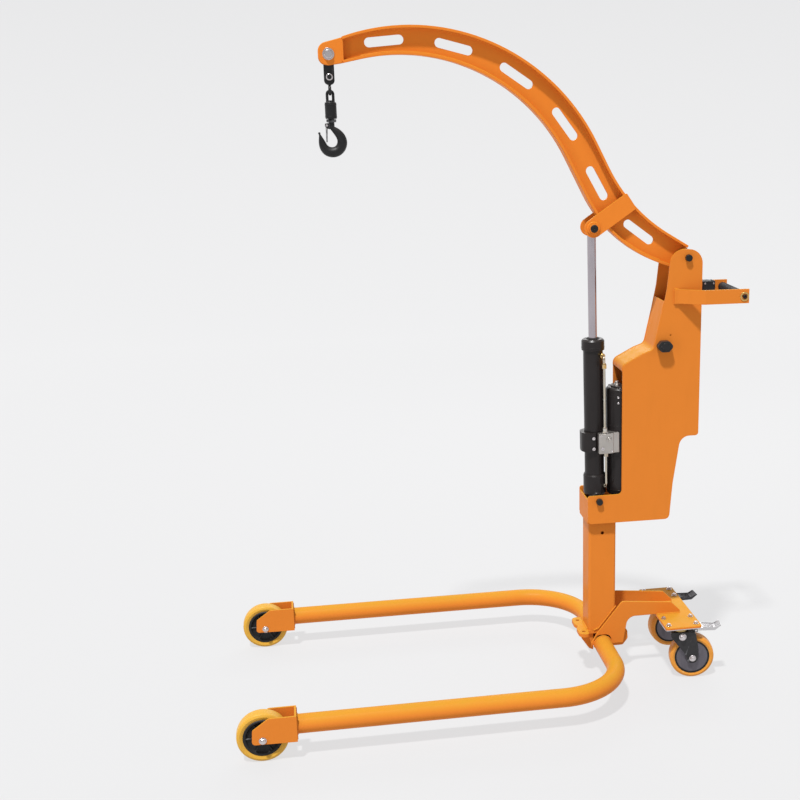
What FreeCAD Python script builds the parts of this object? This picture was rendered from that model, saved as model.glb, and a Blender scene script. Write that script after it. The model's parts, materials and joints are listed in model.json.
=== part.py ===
import FreeCAD, Part
import math
import os
from FreeCAD import Placement, Rotation, Vector

# Mobile lifting crane with a cranked boom and a self-contained hydraulic ram.
# Frame: +X towards the hook and the front wheels, +Y to the crane's left, +Z up, floor at Z = 0.
# All lengths are millimetres.

SIZES = [
    ("front_axle_x", 737, "front axle, from the middle of the crane's length"),
    ("leg_y", 403, "middle of each leg tube"),
    ("leg_z", 100, "axis of the leg tubes"),
    ("leg_radius", 28.5, "outside radius of the leg tube"),
    ("leg_wall", 4, "wall of the leg tube"),
    ("leg_bend", 205, "radius of the bend in each leg, on its axis"),
    ("leg_back_x", -355, "axis of the legs' cross run"),
    ("front_radius", 75, "front wheel"),
    ("front_width", 43, "front wheel"),
    ("front_core_radius", 57, "front wheel's core"),
    ("fork_half", 36, "half the width over a front fork"),
    ("fork_plate", 6, "thickness of the fork's plate"),
    ("rear_radius", 72.5, "rear wheel"),
    ("rear_width", 45, "rear wheel"),
    ("rear_core_radius", 57, "rear wheel's core"),
    ("caster_x", -594, "swivel axis of the rear casters"),
    ("caster_y", 122, "swivel axis of the rear casters"),
    ("caster_trail", 40, "from the swivel axis to the rear axle"),
    ("left_caster_turn", -8, "turn of the left caster about its swivel axis at rest, in degrees"),
    ("right_caster_turn", 3, "turn of the right caster about its swivel axis at rest, in degrees"),
    ("caster_top_z", 182, "top face of the caster plates"),
    ("caster_plate", 6, "thickness of the caster plates"),
    ("cross_plate", 8, "thickness of the rear cross plate"),
    ("axle_radius", 6, "all four wheel axles"),
    ("running_gap", 0.06, "radial clearance of running fits"),
    ("column_x", -353, "axis of the column"),
    ("column_side", 90, "outside of the square column"),
    ("column_wall", 5, "wall of the column"),
    ("column_foot_z", 150, "lower end of the column"),
    ("column_head_z", 560, "upper end of the column"),
    ("housing_half", 57, "half the clear width of the housing"),
    ("side_plate", 5, "thickness of the housing's side plates"),
    ("cover_plate", 4, "thickness of the housing's covers"),
    ("pivot_x", -614, "boom pivot"),
    ("pivot_z", 1360, "boom pivot"),
    ("foot_x", -338, "lower pin of the ram"),
    ("foot_z", 597, "lower pin of the ram"),
    ("top_x", -324, "upper pin of the ram, boom raised"),
    ("top_z", 1453, "upper pin of the ram, boom raised"),
    ("pin_radius", 10.5, "boom pivot pin and lower ram pin"),
    ("barrel_radius", 31, "outside of the ram's barrel"),
    ("barrel_bore", 25, "bore radius of the ram's barrel"),
    ("cap_radius", 36, "ram's cap and foot"),
    ("rod_radius", 13.5, "ram's rod"),
    ("pump_radius", 44, "pump and tank unit"),
    ("boom_width", 50, "width of the boom's flanges"),
    ("boom_flange", 8, "thickness of the boom's flanges"),
    ("boom_web", 8, "thickness of the boom's web"),
    ("slot_pitch", 200, "spacing of the boom's slots"),
    ("slot_length", 112, "boom slot over its round ends"),
    ("slot_width", 27, "boom slot"),
    ("tip_x", 440, "bolt at the boom's tip"),
    ("tip_z", 1958, "bolt at the boom's tip"),
    ("strap_plate", 6, "thickness of the straps that carry the ram's upper pin"),
    ("strap_width", 56, "width of the straps"),
    ("handle_strip", 44, "height of the handle's flat arms"),
    ("handle_plate", 6, "thickness of the handle's arms"),
    ("handle_y", 102, "half the clear width between the handle's arms"),
    ("grip_radius", 15, "push handle's grip"),
]
SIZE = {name: value for name, value, note in SIZES}

doc = FreeCAD.newDocument("LiftingCrane")
parts = []


def make_sheet():
    sheet = doc.addObject("Spreadsheet::Sheet", "Sizes")
    for row, (name, value, note) in enumerate(SIZES, start=1):
        sheet.set(f"A{row}", note)
        sheet.set(f"B{row}", str(value))
        sheet.setAlias(f"B{row}", name)
    doc.recompute()


def bound(name):
    """Expression text in which each size's name stands for its cell in the sheet."""
    words = name.split()
    return " ".join(f"Sizes.{word}" if word in SIZE else word for word in words)


def new_body(label, at=(0, 0, 0), rotation=None):
    body = doc.addObject("PartDesign::Body", label)
    body.Label = label
    body.Placement = Placement(Vector(*at), rotation or Rotation())
    parts.append(body)
    return body


def corners_to_edges(corners, closed=True):
    """Straight edges and tangent arcs through corners given as (x, y) or (x, y, radius)."""
    points = [Vector(c[0], c[1], 0) for c in corners]
    radii = [c[2] if len(c) > 2 else 0 for c in corners]
    count = len(points)
    starts, ends, arcs = [], [], []
    for i, point in enumerate(points):
        inner = closed or 0 < i < count - 1
        if not inner or not radii[i]:
            starts.append(point)
            ends.append(point)
            arcs.append(None)
            continue
        before = (points[i - 1] - point).normalize()
        after = (points[(i + 1) % count] - point).normalize()
        half = before.getAngle(after) / 2
        reach = radii[i] / math.tan(half)
        middle = point + (before + after).normalize() * (radii[i] / math.sin(half))
        start = point + before * reach
        end = point + after * reach
        left = before.x * after.y - before.y * after.x < 0
        first, last = (start, end) if left else (end, start)
        a0 = math.atan2(first.y - middle.y, first.x - middle.x)
        a1 = math.atan2(last.y - middle.y, last.x - middle.x)
        if a1 < a0:
            a1 += 2 * math.pi
        circle = Part.Circle(middle, Vector(0, 0, 1), radii[i])
        starts.append(start)
        ends.append(end)
        arcs.append(Part.ArcOfCircle(circle, a0, a1))
    edges = []
    for i in range(count):
        if arcs[i]:
            edges.append(arcs[i])
        if i == count - 1 and not closed:
            break
        nxt = starts[(i + 1) % count]
        if (nxt - ends[i]).Length > 1e-6:
            edges.append(Part.LineSegment(ends[i], nxt))
    return edges


def new_sketch(body, role, name, start=0):
    """Sketch on one of the body's origin planes, moved to a start along the positive axis across it."""
    plane = next(item for item in body.Origin.OriginFeatures if item.Role == role)
    sketch = body.newObject("Sketcher::SketchObject", name)
    sketch.AttachmentSupport = [(plane, "")]
    sketch.MapMode = "FlatFace"
    normal = -1 if role == "XZ_Plane" else 1
    sketch.AttachmentOffset = Placement(Vector(0, 0, normal * start), Rotation())
    return sketch


def draw(sketch, shapes):
    """Each shape is a list of corners, or a circle given as (x, y, radius)."""
    for shape in shapes:
        if isinstance(shape, tuple):
            x, y, radius = shape
            sketch.addGeometry(Part.Circle(Vector(x, y, 0), Vector(0, 0, 1), radius), False)
        else:
            for edge in corners_to_edges(shape):
                sketch.addGeometry(edge, False)


def pad(body, role, shapes, length, start=0):
    """Adds material from the start along the positive axis across the plane."""
    sketch = new_sketch(body, role, f"{body.Label}_outline", start)
    draw(sketch, shapes)
    feature = body.newObject("PartDesign::Pad", f"{body.Label}_pad")
    feature.Profile = sketch
    feature.Reversed = role == "XZ_Plane"
    if isinstance(length, str):
        feature.setExpression("Length", bound(length))
    else:
        feature.Length = length
    doc.recompute()
    return feature


def pocket(body, role, shapes, length=2000, start=-1000):
    """Cuts from the start along the positive axis across the plane."""
    sketch = new_sketch(body, role, f"{body.Label}_cut", start)
    draw(sketch, shapes)
    before = body.Shape.Volume
    feature = body.newObject("PartDesign::Pocket", f"{body.Label}_pocket")
    feature.Profile = sketch
    feature.Reversed = role != "XZ_Plane"
    feature.Length = length
    doc.recompute()
    if body.Shape.Volume > before - 1e-3:
        raise RuntimeError(f"{body.Label}: the pocket cuts nothing")
    return feature


def turned(label, profile, at, axis=(0, 0, 1)):
    """A revolved piece: the profile's corners are (radius, height) or (radius, height, rounding)."""
    body = new_body(label, at, Rotation(Vector(0, 0, 1), Vector(*axis)))
    sketch = new_sketch(body, "XZ_Plane", f"{label}_profile")
    draw(sketch, [profile])
    feature = body.newObject("PartDesign::Revolution", f"{label}_turn")
    feature.Profile = sketch
    feature.ReferenceAxis = (sketch, ["V_Axis"])
    feature.Angle = 360
    doc.recompute()
    return body


def side_plate(label, shapes, y_low, thickness):
    """A plate in the XZ plane that starts at y_low and is as thick as the named size."""
    body = new_body(label, (0, y_low, 0))
    pad(body, "XZ_Plane", shapes, thickness)
    return body


def swept(label, section, path, at, rotation=None, role="XY_Plane"):
    """A round bar or tube along a path that leaves the origin along the local X axis."""
    body = new_body(label, at, rotation)
    spine = new_sketch(body, role, f"{label}_path")
    for edge in corners_to_edges(path, closed=False):
        spine.addGeometry(edge, False)
    ring = new_sketch(body, "YZ_Plane", f"{label}_section")
    draw(ring, section)
    pipe = body.newObject("PartDesign::AdditivePipe", f"{label}_sweep")
    pipe.Profile = ring
    pipe.Spine = spine
    doc.recompute()
    return body


def offset_line(corners, distance):
    """Open line of corners moved to its left by a distance, with its roundings kept concentric."""
    points = [Vector(c[0], c[1], 0) for c in corners]
    radii = [c[2] if len(c) > 2 else 0 for c in corners]
    moved = []
    for i, point in enumerate(points):
        back = (point - points[i - 1]).normalize() if i else (points[1] - point).normalize()
        ahead = (points[i + 1] - point).normalize() if i < len(points) - 1 else back
        left_back = Vector(-back.y, back.x, 0)
        left_ahead = Vector(-ahead.y, ahead.x, 0)
        mitre = (left_back + left_ahead).normalize()
        place = point + mitre * (distance / mitre.dot(left_back))
        turn = back.x * ahead.y - back.y * ahead.x
        radius = radii[i] - distance * math.copysign(1, turn) if radii[i] else 0
        moved.append((place.x, place.y, max(radius, 0)))
    return moved


def strip(corners, thickness):
    """Closed outline of a bent strip that lies to the left of a line of corners."""
    return list(corners) + offset_line(corners, thickness)[::-1]


def point_along(corners, distance):
    """Point and direction at a distance along a rounded line."""
    edges = [edge.toShape() for edge in corners_to_edges(corners, closed=False)]
    here = Vector(corners[0][0], corners[0][1], 0)
    for edge in edges:
        first, last = edge.firstVertex(True).Point, edge.lastVertex(True).Point
        forward = (first - here).Length < (last - here).Length
        if distance <= edge.Length:
            at = edge.getParameterByLength(distance if forward else edge.Length - distance)
            tangent = edge.tangentAt(at)
            return edge.valueAt(at), tangent if forward else tangent * -1
        distance -= edge.Length
        here = last if forward else first
    raise ValueError("the distance is longer than the line")


# ---- base frame ----

LEFT_RIGHT = (("left", 1), ("right", -1))
FORK_BACK_X = SIZE["front_axle_x"] - 98


def make_legs():
    run = FORK_BACK_X - SIZE["leg_back_x"]
    section = [(0, 0, SIZE["leg_radius"]), (0, 0, SIZE["leg_radius"] - SIZE["leg_wall"])]
    for name, side in LEFT_RIGHT:
        path = [(0, 0), (-run, 0, SIZE["leg_bend"]), (-run, -side * SIZE["leg_y"])]
        swept(f"leg_{name}", section, path, (FORK_BACK_X, side * SIZE["leg_y"], SIZE["leg_z"]))


def make_forks():
    half = SIZE["fork_half"]
    x = SIZE["front_axle_x"]
    cheek = [(-98, 61), (31, 63, 10), (28, 107, 8), (-19, 141, 8), (-98, 141)]
    for name, side in LEFT_RIGHT:
        body = new_body(f"fork_{name}", (x, side * SIZE["leg_y"] - half, 0))
        pad(body, "XZ_Plane", [cheek], "2 * fork_half")
        inner = SIZE["fork_plate"]
        slot = [(-98 + inner, 40), (60, 40), (60, 160), (-98 + inner, 160)]
        pocket(body, "XZ_Plane", [slot], 2 * (half - inner), inner)
        pocket(body, "XZ_Plane", [(0, SIZE["front_radius"], SIZE["axle_radius"])])


def make_foot_plate():
    """Plate under the column, with the two saddle blocks that grip the cross tube from the front and rear."""
    front, neck, back = -274, SIZE["column_x"] + SIZE["column_side"] / 2 + 2, -398
    wide, narrow = 72, SIZE["column_side"] / 2
    outline = [(front, -wide, 20), (front, -20, 10), (front - 8, 0, 20), (front, 20, 10), (front, wide, 20),
               (neck, wide, 10), (neck, narrow), (back, narrow), (back, -narrow), (neck, -narrow),
               (neck, -wide, 10)]
    body = new_body("foot_plate", (0, 0, SIZE["column_foot_z"] - 12))
    pad(body, "XY_Plane", [outline, (-292, -47, 6), (-292, 47, 6)], 12)
    inner = 38
    nose = [(-288, 2), (-286, -16, 8), (-312, -54, 14), (-326, -60), (-326, 2)]
    heel = [(-386, 2), (-441, 2, 8), (-443, -30, 14), (-426, -52, 10), (-386, -52)]
    for block in (nose, heel):
        pad(body, "XZ_Plane", [block], 2 * inner, -inner)


COLUMN_HOLE_Z = 485


def make_column():
    half = SIZE["column_side"] / 2
    inner = half - SIZE["column_wall"]
    body = new_body("column", (SIZE["column_x"], 0, SIZE["column_foot_z"]))
    outside = [(-half, -half, 8), (half, -half, 8), (half, half, 8), (-half, half, 8)]
    inside = [(-inner, -inner, 4), (inner, -inner, 4), (inner, inner, 4), (-inner, inner, 4)]
    pad(body, "XY_Plane", [outside, inside], "column_head_z - column_foot_z")
    pocket(body, "XZ_Plane", [(0, COLUMN_HOLE_Z - SIZE["column_foot_z"], 5.5)], half, 0)


def make_rear_frame():
    top = SIZE["caster_top_z"] + SIZE["cross_plate"]
    arch = SIZE["leg_radius"]
    x = SIZE["leg_back_x"]
    z = SIZE["leg_z"]
    lift = arch * 1.16
    outline = [(-312, z, 6), (-336, 141, 12), (-419, 245, 12), (-586, 229, 8), (-615, 200, 6), (-618, top),
               (-439, top, 30), (-424, z, 4), (x - arch, z), (x - arch, z + lift, arch * 0.72),
               (x + arch, z + lift, arch * 0.72), (x + arch, z)]
    inner = SIZE["column_side"] / 2
    plate = 6
    side_plate("rear_side_left", [outline], inner, plate)
    side_plate("rear_side_right", [outline], -inner - plate, plate)
    body = new_body("rear_cross", (0, 0, SIZE["caster_top_z"]))
    pad(body, "XY_Plane", [[(-535, -172, 10), (-535, 172, 10), (-655, 172, 10), (-655, -172, 10)]], "cross_plate")


# ---- wheels ----

def wheel_profiles(radius, core, width):
    """Tyre with a crowned tread, and a core with a thick hub and a dished web."""
    half = width / 2
    tyre = [(core, -half + 2, 2), (radius - 6, -half, 7), (radius, -half * 0.45, 16), (radius, half * 0.45, 16),
            (radius - 6, half, 7), (core, half - 2, 2)]
    bore = SIZE["axle_radius"] + SIZE["running_gap"]
    hub, rim = bore + 13, core - 9
    core_shape = [(bore, -half - 3), (hub, -half - 3, 2), (hub, -7, 3), (rim, -7, 4), (rim, -half + 3, 2),
                  (core, -half + 3), (core, half - 3), (rim, half - 3, 2), (rim, 7, 4), (hub, 7, 3),
                  (hub, half + 3, 2), (bore, half + 3)]
    return tyre, core_shape


def axle_profile(reach):
    """Bolt with a domed head and a nut beyond the two cheeks, whose outer faces are at +-reach."""
    shank, end = SIZE["axle_radius"], reach + 10.8
    return [(0, -end), (7, -end, 3), (10, -reach), (shank, -reach), (shank, reach), (10, reach), (7, end, 3), (0, end)]


def make_front_wheels():
    radius = SIZE["front_radius"]
    tyre, core = wheel_profiles(radius, SIZE["front_core_radius"], SIZE["front_width"])
    for name, side in LEFT_RIGHT:
        centre = (SIZE["front_axle_x"], side * SIZE["leg_y"], radius)
        turned(f"front_tyre_{name}", tyre, centre, (0, 1, 0))
        turned(f"front_core_{name}", core, centre, (0, 1, 0))
        turned(f"front_axle_{name}", axle_profile(SIZE["fork_half"]), centre, (0, side, 0))


YOKE_HALF = 32
YOKE_PLATE = 5
YOKE_TOP = 163
PEDAL_HALF = 20
PEDAL_X, PEDAL_Z = -50, YOKE_TOP + 4.3


def make_yoke(label, base, turn):
    """Swivelling fork: crown plate, two legs, the race ring on top and a bore for the king pin."""
    trail, radius = SIZE["caster_trail"], SIZE["rear_radius"]
    crown = YOKE_TOP
    body = new_body(label, base, turn)
    body.Placement.Base += turn.multVec(Vector(0, -YOKE_HALF, 0))
    leg = [(34, crown, 6), (30, 146, 8), (-trail + 22, radius + 12, 14), (-trail + 16, radius - 17, 15),
           (-trail - 16, radius - 17, 15), (-trail - 19, radius + 30, 20), (-trail - 8, crown, 10)]
    pad(body, "XZ_Plane", [leg], 2 * YOKE_HALF)
    slot = [(-150, 20), (80, 20), (80, crown - YOKE_PLATE), (-150, crown - YOKE_PLATE)]
    pocket(body, "XZ_Plane", [slot], 2 * (YOKE_HALF - YOKE_PLATE), YOKE_PLATE)
    pocket(body, "XZ_Plane", [(-trail, radius, SIZE["axle_radius"])])
    ring_top = SIZE["caster_top_z"] - SIZE["caster_plate"] - 0.4
    pad(body, "XY_Plane", [(0, YOKE_HALF, 27)], ring_top - crown, crown)
    pocket(body, "XY_Plane", [(0, YOKE_HALF, 8 + SIZE["running_gap"])])


def make_pedal(label, base, turn):
    """Bent brake pedal: a hinge barrel, a tread that rises behind the wheel and a raised toe tab."""
    body = new_body(label, base, turn)
    body.Placement.Base += turn.multVec(Vector(0, -PEDAL_HALF, 0))
    tread = strip([(PEDAL_X, PEDAL_Z + 2), (-74, 174, 8), (-114, 171, 6), (-131, 181.8)], 4)
    pad(body, "XZ_Plane", [tread], 2 * PEDAL_HALF)
    pad(body, "XZ_Plane", [(PEDAL_X, PEDAL_Z, 4)], 2 * PEDAL_HALF)


def make_casters():
    tyre, core = wheel_profiles(SIZE["rear_radius"], SIZE["rear_core_radius"], SIZE["rear_width"])
    under = SIZE["caster_top_z"] - SIZE["caster_plate"]
    for name, side in LEFT_RIGHT:
        base = Vector(SIZE["caster_x"], side * SIZE["caster_y"], 0)
        turn = Rotation(Vector(0, 0, 1), SIZE[f"{name}_caster_turn"])
        plate = new_body(f"caster_plate_{name}", (base.x, base.y, under))
        pad(plate, "XY_Plane", [[(-58, -42, 8), (58, -42, 8), (58, 42, 8), (-58, 42, 8)]], "caster_plate")
        pad(plate, "XY_Plane", [(0, 0, 8)], 26, -25)
        make_yoke(f"caster_yoke_{name}", base, turn)
        wheel = base + turn.multVec(Vector(-SIZE["caster_trail"], 0, SIZE["rear_radius"]))
        spin = turn.multVec(Vector(0, 1, 0))
        turned(f"rear_tyre_{name}", tyre, wheel, spin)
        turned(f"rear_core_{name}", core, wheel, spin)
        turned(f"rear_axle_{name}", axle_profile(YOKE_HALF), wheel, spin)
        make_pedal(f"brake_pedal_{name}", base, turn)


# ---- mast housing ----

PIVOT = (SIZE["pivot_x"], SIZE["pivot_z"])
FOOT = (SIZE["foot_x"], SIZE["foot_z"])
KNOB = (-541, 1091)

# Front and rear edges of the side plates, each from its top down.
FRONT_EDGE = [(-548, 1264, 60), (-534, 1192, 120), (-509, 1079, 22), (-475, 1067, 40), (-410, 1033, 22), (-411, 619)]
REAR_EDGE = [(-660, 1330), (-660, 797, 10), (-602, 797, 34), (-579, 644, 200), (-569, 523, 16)]


def make_side_plates():
    low, front = 523, -301
    outline = [(-660, 1386, 44), (-561, 1386, 44), *FRONT_EDGE[:-1], (-411, 617, 12), (front, 616, 8),
               (front, low, 12), *REAR_EDGE[:0:-1]]
    holes = [(*PIVOT, SIZE["pin_radius"]), (*FOOT, SIZE["pin_radius"])]
    inner = SIZE["housing_half"]
    knob_hole = (*KNOB, 5 + SIZE["running_gap"])
    spare_hole = (-562, 1123, 3)
    side_plate("housing_left", [outline, *holes, knob_hole, spare_hole], inner, "side_plate")
    side_plate("housing_right", [outline, *holes], -inner - SIZE["side_plate"], "side_plate")


def make_covers():
    clear = 2 * SIZE["housing_half"] - 0.4
    thick = SIZE["cover_plate"]
    shoulder = [(-541, 1228), *FRONT_EDGE[1:5], (-410, 1014)]
    rear = [(REAR_EDGE[0][0], 1290), *REAR_EDGE[1:3], (-585, 684)]
    nose = [(-301, 604), (-301, 523)]
    for label, corners, thickness in (("shoulder_cover", shoulder, -thick), ("rear_cover", rear, thick),
                                      ("nose_cover", nose, -thick)):
        side_plate(label, [strip(corners, thickness)], -clear / 2, clear)


def make_housing_pins():
    """Plain pins through both side plates, proud of each."""
    reach, radius = SIZE["housing_half"] + SIZE["side_plate"] + 11, SIZE["pin_radius"]
    profile = [(0, -reach), (radius, -reach, 1.5), (radius, reach, 1.5), (0, reach)]
    turned("pivot_pin", profile, (PIVOT[0], 0, PIVOT[1]), (0, 1, 0))
    turned("foot_pin", profile, (FOOT[0], 0, FOOT[1]), (0, 1, 0))


def make_knob():
    """Oblong lobed knob with a spigot in the left side plate."""
    face = SIZE["housing_half"] + SIZE["side_plate"]
    body = new_body("side_knob", (KNOB[0], face, KNOB[1]))
    lobes = [(-27, 0, 10), (-12, 17, 8), (12, 17, 8), (27, 0, 10), (12, -17, 8), (-12, -17, 8)]
    pad(body, "XZ_Plane", [lobes], 22, 0.4)
    pad(body, "XZ_Plane", [(0, 0, 5)], SIZE["side_plate"] + 1, -SIZE["side_plate"])


# ---- push handle ----

ARM_TOP_Z = 1265
GRIP = (-782, 1242)


def make_handle():
    root = SIZE["housing_half"] + SIZE["side_plate"]
    inner = SIZE["handle_y"]
    line = [(-571, root), (-584, root, 12), (-656, inner, 16), (-797, inner)]
    base = ARM_TOP_Z - SIZE["handle_strip"]
    grip_hole = 5
    for name, side in LEFT_RIGHT:
        corners = [(c[0], side * c[1], *c[2:]) for c in line]
        body = new_body(f"handle_arm_{name}", (0, 0, base))
        pad(body, "XY_Plane", [strip(corners, -side * SIZE["handle_plate"])], "handle_strip")
        pocket(body, "XZ_Plane", [(GRIP[0], GRIP[1] - base, grip_hole)])
    radius = SIZE["grip_radius"]
    stub = inner + SIZE["handle_plate"]
    profile = [(0, -stub), (grip_hole, -stub), (grip_hole, -inner), (radius, -inner, 3), (radius, inner, 3),
               (grip_hole, inner), (grip_hole, stub), (0, stub)]
    turned("grip", profile, (GRIP[0], 0, GRIP[1]), (0, 1, 0))


POD = (-724, -81, 1225)


def make_control_pod():
    """Hand control box on the inside of the right arm, with a rocker let into its top."""
    body = new_body("control_pod", POD)
    pad(body, "XY_Plane", [[(-21, -21, 4), (21, -21, 4), (21, 20, 6), (-21, 20, 6)]], 42)
    pocket(body, "XY_Plane", [[(-15, -9), (15, -9), (15, 9), (-15, 9)]], 20, 34)
    rocker = new_body("rocker", (POD[0], POD[1] - 8.5, POD[2]))
    key = [(-12, 38), (12, 38), (12.5, 44, 2), (0, 42.5, 12), (-12.5, 44, 2)]
    pad(rocker, "XZ_Plane", [key], 17)


# ---- ram ----

RAM_LENGTH = math.hypot(SIZE["top_x"] - SIZE["foot_x"], SIZE["top_z"] - SIZE["foot_z"])
RAM_AXIS = Vector(SIZE["top_x"] - SIZE["foot_x"], 0, SIZE["top_z"] - SIZE["foot_z"])
RAM_TURN = Rotation(Vector(0, 0, 1), RAM_AXIS)
RAM_FOOT = (FOOT[0], 0, FOOT[1])
CAP_LOW, CAP_HIGH = 479, 514
VALVE_LOW, VALVE_HIGH = 155, 220
EYE_HALF = 14


def make_barrel():
    """Closed foot with a cross eye on the lower pin, and the tube above it."""
    outer, bore, foot = SIZE["barrel_radius"], SIZE["barrel_bore"], SIZE["cap_radius"]
    eye = SIZE["housing_half"] - 5
    body = turned("ram_barrel", [(0, 12), (foot, 12, 4), (foot, 76, 4), (outer, 76), (outer, CAP_LOW),
                                 (bore, CAP_LOW), (bore, 90), (0, 90)], RAM_FOOT, RAM_AXIS)
    pad(body, "XZ_Plane", [(0, 0, 23)], 2 * eye, -eye)
    pocket(body, "XZ_Plane", [(0, 0, SIZE["pin_radius"] + SIZE["running_gap"])])


def make_cap_and_clamp():
    rod = SIZE["rod_radius"] + SIZE["running_gap"]
    cap = SIZE["cap_radius"]
    turned("ram_cap", [(rod, CAP_LOW), (cap, CAP_LOW, 2), (cap, CAP_HIGH - 6, 2), (cap - 5, CAP_HIGH, 2),
                       (rod, CAP_HIGH)], RAM_FOOT, RAM_AXIS)
    ring = SIZE["barrel_radius"]
    clamp = new_body("ram_clamp", RAM_FOOT, RAM_TURN)
    lug = [(-2, -ring - 6, 6), (44, -ring - 6, 30), (44, ring + 6, 30), (-2, ring + 6, 6)]
    pad(clamp, "XY_Plane", [lug], VALVE_HIGH - VALVE_LOW - 4, VALVE_LOW + 2)
    pocket(clamp, "XY_Plane", [(0, 0, ring)])


def make_power_pack():
    """Pump and tank behind the barrel, and the valve block with its side port."""
    radius = SIZE["pump_radius"]
    offset = RAM_TURN.multVec(Vector(-SIZE["barrel_radius"] - radius - 9, 0, 8))
    centre = Vector(*RAM_FOOT) + offset
    turned("pump_unit", [(0, 0), (radius, 0, 5), (radius, 350, 12), (0, 350)], centre, RAM_AXIS)
    block = new_body("valve_block", RAM_FOOT, RAM_TURN)
    outline = [(-3, 37), (-3, 58, 3), (-50, 58, 3), (-50, 52, 2), (-70, 52, 2), (-70, 18), (-22, 18), (-22, 37)]
    pad(block, "XY_Plane", [outline], VALVE_HIGH - VALVE_LOW, VALVE_LOW)
    seat = 0.1
    pocket(block, "XY_Plane", [(-SIZE["barrel_radius"] - radius - 9, 0, radius + seat)])
    pocket(block, "XY_Plane", [(0, 0, SIZE["barrel_radius"] + seat)])


def make_feed_pipe():
    """Bent pipe from the side of the barrel down to the top of the valve block."""
    bore_x, out_y, in_y, high = -24, 48, 24.2, 463
    start = Vector(*RAM_FOOT) + RAM_TURN.multVec(Vector(bore_x, in_y, high))
    stand = RAM_TURN.multiply(Rotation(Vector(0, 0, 1), 90))
    path = [(0, 0), (out_y - in_y, 0, 9), (out_y - in_y, VALVE_HIGH - high)]
    swept("feed_pipe", [(0, 0, 4)], path, start, stand, "XZ_Plane")


def make_rod():
    """Piston, rod and the solid eye that stands between the boom's straps."""
    rod, piston = SIZE["rod_radius"], SIZE["barrel_bore"] - SIZE["running_gap"]
    profile = [(0, 415), (piston, 415, 2), (piston, 445, 2), (rod, 445), (rod, RAM_LENGTH), (0, RAM_LENGTH)]
    body = turned("rod", profile, RAM_FOOT, RAM_AXIS)
    pad(body, "XZ_Plane", [(0, RAM_LENGTH, 18)], 2 * EYE_HALF, -EYE_HALF)


# ---- boom ----

TIP = (SIZE["tip_x"], SIZE["tip_z"])
TOP_LINE = [(-626, 1392), (-437, 1506, 500), (-88, 2190, 610), (428, 1995)]
BOTTOM_LINE = [(-600, 1317), (-377, 1399, 430), (-56, 2030, 540), (420, 1929)]
MIDDLE_LINE = [PIVOT, (-407, 1452, 470), (-72, 2110, 585), TIP]


def slot_outline(middle, along):
    """Round-ended slot along the boom."""
    straight = (SIZE["slot_length"] - SIZE["slot_width"]) / 2
    half = SIZE["slot_width"] / 2
    across = Vector(-along.y, along.x, 0)
    reach = straight + half
    ends = [(-reach, -half), (reach, -half), (reach, half), (-reach, half)]
    rounding = half - 0.01
    points = [middle + along * a + across * b for a, b in ends]
    return [(p.x, p.y, rounding) for p in points]


def make_boom_web():
    flange = SIZE["boom_flange"]
    top = offset_line(TOP_LINE, -flange)
    bottom = offset_line(BOTTOM_LINE, flange)
    outline = [(-634, 1377, 14), *top, *bottom[::-1], (-634, 1330, 20)]
    slots = []
    for number in range(6):
        middle, along = point_along(MIDDLE_LINE, 162 + number * SIZE["slot_pitch"])
        slots.append(slot_outline(middle, along))
    half = SIZE["boom_web"] / 2
    body = new_body("boom_web", (0, -half, 0))
    pad(body, "XZ_Plane", [outline, *slots], "boom_web")
    boss_half = SIZE["housing_half"] - 1
    pad(body, "XZ_Plane", [(*PIVOT, 23)], 2 * boss_half, half - boss_half)
    pocket(body, "XZ_Plane", [(*PIVOT, SIZE["pin_radius"] + SIZE["running_gap"])])
    trim_at_nose(body)


def trim_at_nose(body):
    """Squares off a piece of the boom where the nose begins."""
    far, low, high = NOSE_X + 80, 1880, 2060
    pocket(body, "XZ_Plane", [[(NOSE_X, low), (far, low), (far, high), (NOSE_X, high)]])


def make_boom_flanges():
    flange, width = SIZE["boom_flange"], SIZE["boom_width"]
    trim_at_nose(side_plate("boom_top_flange", [strip(TOP_LINE, -flange)], -width / 2, "boom_width"))
    trim_at_nose(side_plate("boom_bottom_flange", [strip(BOTTOM_LINE, flange)], -width / 2, "boom_width"))


NOSE_X = 400
NOSE_GAP = 12.5
NOSE_HALF = 21


def make_nose():
    """Two rounded cheeks joined by a block that meets the end of the web."""
    x, z = TIP
    cheek = [(NOSE_X, z - 25), (x, z - 31, 20), (x + 28, z - 28, 23), (x + 28, z + 27, 25), (NOSE_X, z + 45)]
    body = new_body("boom_nose", (0, -NOSE_HALF, 0))
    pad(body, "XZ_Plane", [cheek], 2 * NOSE_HALF)
    slot = [(x - 26, z - 60), (x + 60, z - 60), (x + 60, z + 60), (x - 26, z + 60)]
    pocket(body, "XZ_Plane", [slot], 2 * NOSE_GAP, NOSE_HALF - NOSE_GAP)
    pocket(body, "XZ_Plane", [(x, z, 8)])


def make_straps():
    """Plate on each side of the boom; a stub pin with an outer head stands in for the upper ram pin."""
    x, z = SIZE["top_x"], SIZE["top_z"]
    along = Vector(-116, 79, 0).normalize()
    across = Vector(-along.y, along.x, 0)
    half = SIZE["strap_width"] / 2
    ends = [(-half, -half, half - 0.01), (-half, half, half - 0.01), (142, half, 4), (142, -half, 4)]
    outline = []
    for a, b, rounding in ends:
        point = Vector(x, z, 0) + along * a + across * b
        outline.append((point.x, point.y, rounding))
    inner = SIZE["boom_width"] / 2
    plate = SIZE["strap_plate"]
    for name, side in LEFT_RIGHT:
        low = inner if side > 0 else -inner - plate
        body = side_plate(f"strap_{name}", [outline], low, "strap_plate")
        head, stub = 9, 9
        pad(body, "XZ_Plane", [(x, z, 15)], head, plate if side > 0 else -head)
        pad(body, "XZ_Plane", [(x, z, 11)], stub, -stub if side > 0 else plate)


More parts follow.
